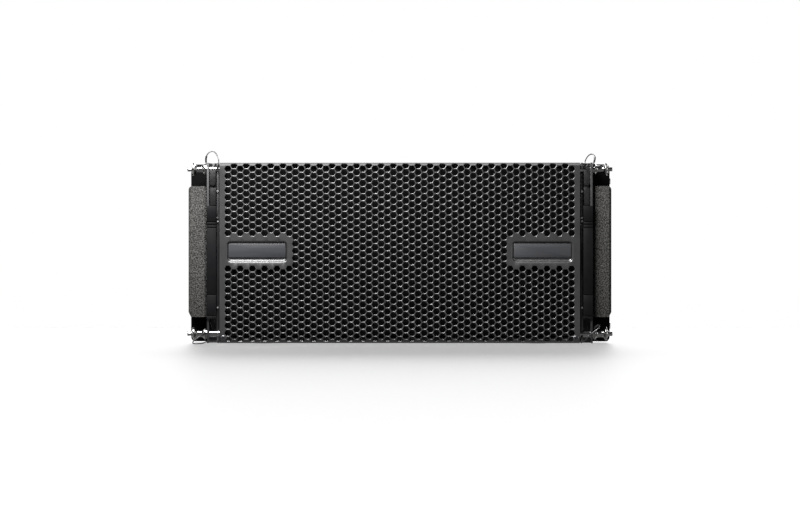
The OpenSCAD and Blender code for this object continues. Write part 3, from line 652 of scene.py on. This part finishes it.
def add_grille_screws():
    """The two screws that hold the grille at its lower corners."""
    profile = [(-3, 0), (-3, 4.4), (0.5, 4.4), (1, 4), (1.3, 3.2), (1.3, 1.9), (0.2, 1.7), (0.2, 0)]
    for side, sign in zip(SIDES, (-1, 1)):
        seat = point(sign * SCREW_X, FRONT_Y / MM + SCREW_DEPTH, SCREW_Z)
        screw = lathe("grille_screw_" + side, profile, seat, Vector((0, -1, 0)), 32)
        add_piece(screw, "panel_screw_steel", "cabinet")


add_grille()
add_grille_screws()

# ---------- ball lock pins ----------

PIN_R = 4.75
HANDLE_LENGTH = 20.4
BORE_R = 3.08
BALL_R = 1.6


def arc_points(cx, cy, radius, start, end, steps):
    """Points of an arc round (cx, cy), from start to end degrees."""
    turns = [math.radians(start + (end - start) * i / steps) for i in range(steps + 1)]
    return [(cx + radius * math.cos(t), cy + radius * math.sin(t)) for t in turns]


def handle_profile():
    """The spool: inner flange, waist and hand flange, from the shoulder outwards."""
    return [(1.2, 0), (1.2, 7.2), *arc_points(1.7, 7.4, 0.5, 180, 90, 3),
            *arc_points(2.7, 7.4, 0.5, 90, 0, 3),
            (3.6, 6.6), (4.6, 5.5), (6.4, 4.9), (10, 4.6), (13, 4.8), (14.6, 5.5), (15.8, 7),
            *arc_points(17.1, 8.5, 0.7, 140, 90, 3), *arc_points(18.1, 8.5, 0.7, 90, 0, 4),
            (18.8, 5.6), (20, 5.2), (HANDLE_LENGTH, 4.6), (HANDLE_LENGTH, BORE_R),
            (8, BORE_R), (8, 0)]


def shank_profile(length):
    """The shank, whose tip is at minus length, with a groove behind the tip."""
    groove = PIN_R - 0.25
    return [(1.3, 0), (1.3, PIN_R), (6.2 - length, PIN_R), (6 - length, groove), (5.4 - length, groove),
            (5.2 - length, PIN_R), (1.5 - length, PIN_R), (0.4 - length, PIN_R - 0.9), (-length, PIN_R - 1.6),
            (-length, 0)]


def join(name, pieces):
    """One object out of several."""
    mesh = bmesh.new()
    for piece in pieces:
        mesh.from_mesh(piece.data)
        bpy.data.objects.remove(piece)
    return smooth(from_bmesh(name, mesh), 35)


def washer(name, origin, axis, angle):
    """The lanyard's washer: a ring with an ear towards angle, measured round the axis from up."""
    first = Matrix.Rotation(math.radians(angle), 3, axis) @ Vector((0, 0, 1))
    second = axis.cross(first)
    ring = arc_points(0, 0, PIN_R + 2, 40, 320, 20)
    ear = [(PIN_R + 2.6, -3), *arc_points(PIN_R + 2.8, 0, 1.7, -60, 60, 6), (PIN_R + 2.6, 3)]
    outline = ring + ear
    mesh = bmesh.new()
    rings = [[mesh.verts.new(origin + axis * t * MM + (first * x + second * y) * MM) for x, y in outline]
             for t in (0.05, 1.15)]
    mesh.faces.new(rings[0])
    mesh.faces.new(rings[1][::-1])
    for i in range(len(outline)):
        m = (i + 1) % len(outline)
        mesh.faces.new((rings[0][i], rings[0][m], rings[1][m], rings[1][i]))
    bmesh.ops.recalc_face_normals(mesh, faces=mesh.faces)
    return from_bmesh(name, mesh)


def button_profile(reach):
    """The spring button, from inside the handle to its rounded end at reach, with a groove near the end."""
    return [(reach - 13.6, 0), (reach - 13.6, 3), (reach - 4.4, 3), (reach - 4.2, 2.6), (reach - 3.6, 2.6),
            (reach - 3.4, 3), *arc_points(reach - 0.9, 2.1, 0.9, 90, 0, 5), (reach, 0)]


def add_pin(name, outward, ear_angle):
    """A pin with its spring button; outward points from the shank to the handle."""
    node = "pin_" + name
    button = "button_" + name
    low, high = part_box(node)
    button_low, button_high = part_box(button)
    tip, end = (low.x, high.x) if outward.x > 0 else (high.x, low.x)
    button_end = button_high.x if outward.x > 0 else button_low.x
    centre = (button_low + button_high) / 2
    shoulder = Vector((end - outward.x * HANDLE_LENGTH * MM, centre.y, centre.z))
    length = abs(shoulder.x - tip) / MM
    balls = []
    for side in (-1, 1):
        at = shoulder - outward * (length - 3) * MM + Vector((0, side * (PIN_R - 1.55) * MM, 0))
        balls.append(lathe("ball", arc_points(0, 0, BALL_R, 180, 0, 10), at, outward, 16))
    parts = [lathe("handle", handle_profile(), shoulder, outward, 64),
             lathe("shank", shank_profile(length), shoulder, outward, 48),
             washer("washer", shoulder, outward, ear_angle), *balls]
    add_piece(join(node + "_turned", parts), "pin_steel", BODY_OF[node], node)
    cap = lathe(button + "_turned", button_profile(abs(button_end - shoulder.x) / MM), shoulder, outward, 32)
    add_piece(cap, "pin_button_steel", BODY_OF[button], button)


TO_LEFT = Vector((-1, 0, 0))
TO_RIGHT = Vector((1, 0, 0))
add_pin("top_left", TO_LEFT, 0)
add_pin("top_right", TO_RIGHT, 0)
add_pin("bottom_left", TO_LEFT, 90)
add_pin("bottom_right", TO_RIGHT, 40)
add_pin("rear", TO_RIGHT, 0)

# ---------- CAD nodes with rounded edges ----------

ROUNDING = {
    "cabinet_shell": (3.5, 3), "side_cheek_left": (2.2, 3), "side_cheek_right": (2.2, 3),
    "rigging_column_left": (0.5, 2), "rigging_column_right": (0.5, 2),
    "column_cover_left": (0.5, 2), "column_cover_right": (0.5, 2), "rear_bracket": (0.6, 2),
    "badge_left": (0.4, 2), "badge_right": (0.4, 2), "feet": (1.5, 3), "grip_pads": (0.5, 2),
    "amp_panel": (0.4, 2), "heatsink": (0.5, 2), "power_sockets": (0.5, 2), "signal_sockets": (0.5, 2),
    "audio_latch": (0.4, 2), "data_latch_in": (0.4, 2), "data_latch_out": (0.4, 2),
    "level_knob": (0.3, 2), "preset_knob": (0.3, 2), "test_button": (0.5, 3), "usb_cover": (0.4, 2),
    "rigging_screws": (0.3, 2), "panel_screws": (0.25, 2), "front_link_left": (0.6, 2),
    "front_link_right": (0.6, 2), "rear_link": (0.8, 2), "front_baffle": (1, 2), "grille_foam": (0.8, 2),
}
for node, (width, segments) in ROUNDING.items():
    rounded_node(node, width, segments)

# the nodes that still show keep their CAD shape
for node, piece in frame["nodes"].items():
    if not piece.hide_render:
        paint(piece, SLOT_OF[node])

# ---------- floor and light ----------


FLOOR_HALF = (3, 2.5, 1)
FLOOR_CENTRE = (0, -1.5, 0)
GLOW_ON_OBJECT = 0.7
GLOW_SEEN = 1.1
FLOOR_MIRROR = 0.6
FLOOR_ROUGHNESS = 0.48
ROOM = 0.02
BACKDROP = 3.1


def floor_material():
    """White that mirrors the object softly and fades into the background; it lights the object less."""
    material = bpy.data.materials.new("floor_white")
    material.use_nodes = True
    tree = material.node_tree
    tree.nodes.remove(tree.nodes["Principled BSDF"])
    glow = tree.nodes.new("ShaderNodeEmission")
    seen = tree.nodes.new("ShaderNodeLightPath").outputs["Is Camera Ray"]
    tree.links.new(spread(tree, seen, GLOW_ON_OBJECT, GLOW_SEEN, 0, 1), glow.inputs["Strength"])
    gloss = tree.nodes.new("ShaderNodeBsdfGlossy")
    gloss.inputs["Color"].default_value = (1, 1, 1, 1)
    gloss.inputs["Roughness"].default_value = FLOOR_ROUGHNESS
    blend = tree.nodes.new("ShaderNodeMixShader")
    blend.inputs["Fac"].default_value = FLOOR_MIRROR
    tree.links.new(glow.outputs["Emission"], blend.inputs[1])
    tree.links.new(gloss.outputs["BSDF"], blend.inputs[2])
    output = next(n for n in tree.nodes if n.type == "OUTPUT_MATERIAL")
    tree.links.new(blend.outputs["Shader"], output.inputs["Surface"])
    return material


def add_floor():
    """The pale floor, most of it in front of the object."""
    mesh = bmesh.new()
    bmesh.ops.create_grid(mesh, x_segments=1, y_segments=1, size=1)
    bmesh.ops.scale(mesh, vec=FLOOR_HALF, verts=mesh.verts)
    bmesh.ops.translate(mesh, vec=FLOOR_CENTRE, verts=mesh.verts)
    floor = from_bmesh("floor", mesh)
    floor.data.materials.append(floor_material())
    return floor


def add_area(name, location, target, size, power, spared):
    """A soft light that the camera does not see; the spared object takes none of it."""
    data = bpy.data.lights.new(name, "AREA")
    data.shape = "RECTANGLE"
    data.size, data.size_y = size
    data.energy = power
    light = bpy.data.objects.new(name, data)
    light.location = location
    light.visible_camera = False
    aim = Vector(target) - Vector(location)
    light.rotation_euler = aim.to_track_quat("-Z", "Y").to_euler()
    bpy.context.scene.collection.objects.link(light)
    receivers = bpy.data.collections.new(name + "_receivers")
    receivers.objects.link(spared)
    light.light_linking.receiver_collection = receivers
    receivers.collection_objects[0].light_linking.link_state = "EXCLUDE"


def add_world():
    """A dim room with a low white backdrop behind the object; the camera sees plain white."""
    world = bpy.data.worlds.new("studio")
    world.use_nodes = True
    tree = world.node_tree
    view = tree.nodes.new("ShaderNodeTexCoord").outputs["Generated"]
    behind = spread(tree, along(tree, view, "Y"), 0, 1, 0.5, 0.75)
    low = spread(tree, along(tree, view, "Z"), 1, 0, 0.3, 0.5)
    white = computed(tree, "MULTIPLY", behind, low)
    studio = mixed(tree, white, (ROOM, ROOM, ROOM), (BACKDROP, BACKDROP, BACKDROP))
    seen = tree.nodes.new("ShaderNodeLightPath").outputs["Is Camera Ray"]
    color = tree.nodes["Background"].inputs["Color"]
    tree.links.new(mixed(tree, seen, studio, (1.0, 1.0, 1.0)), color)
    bpy.context.scene.world = world


floor = add_floor()
add_world()
add_area("key", (-0.34, -0.68, 0.84), (-0.1, -0.2, 0.12), (0.6, 0.5), 46, floor)
add_area("fill", (1.5, -1.4, 0.5), (0.1, -0.2, 0.12), (0.8, 0.8), 8, floor)
add_area("back", (1.0, 2.2, 1.3), (0, 0.1, 0.12), (1.2, 1.2), 26, floor)
bpy.context.scene.view_settings.view_transform = "Standard"
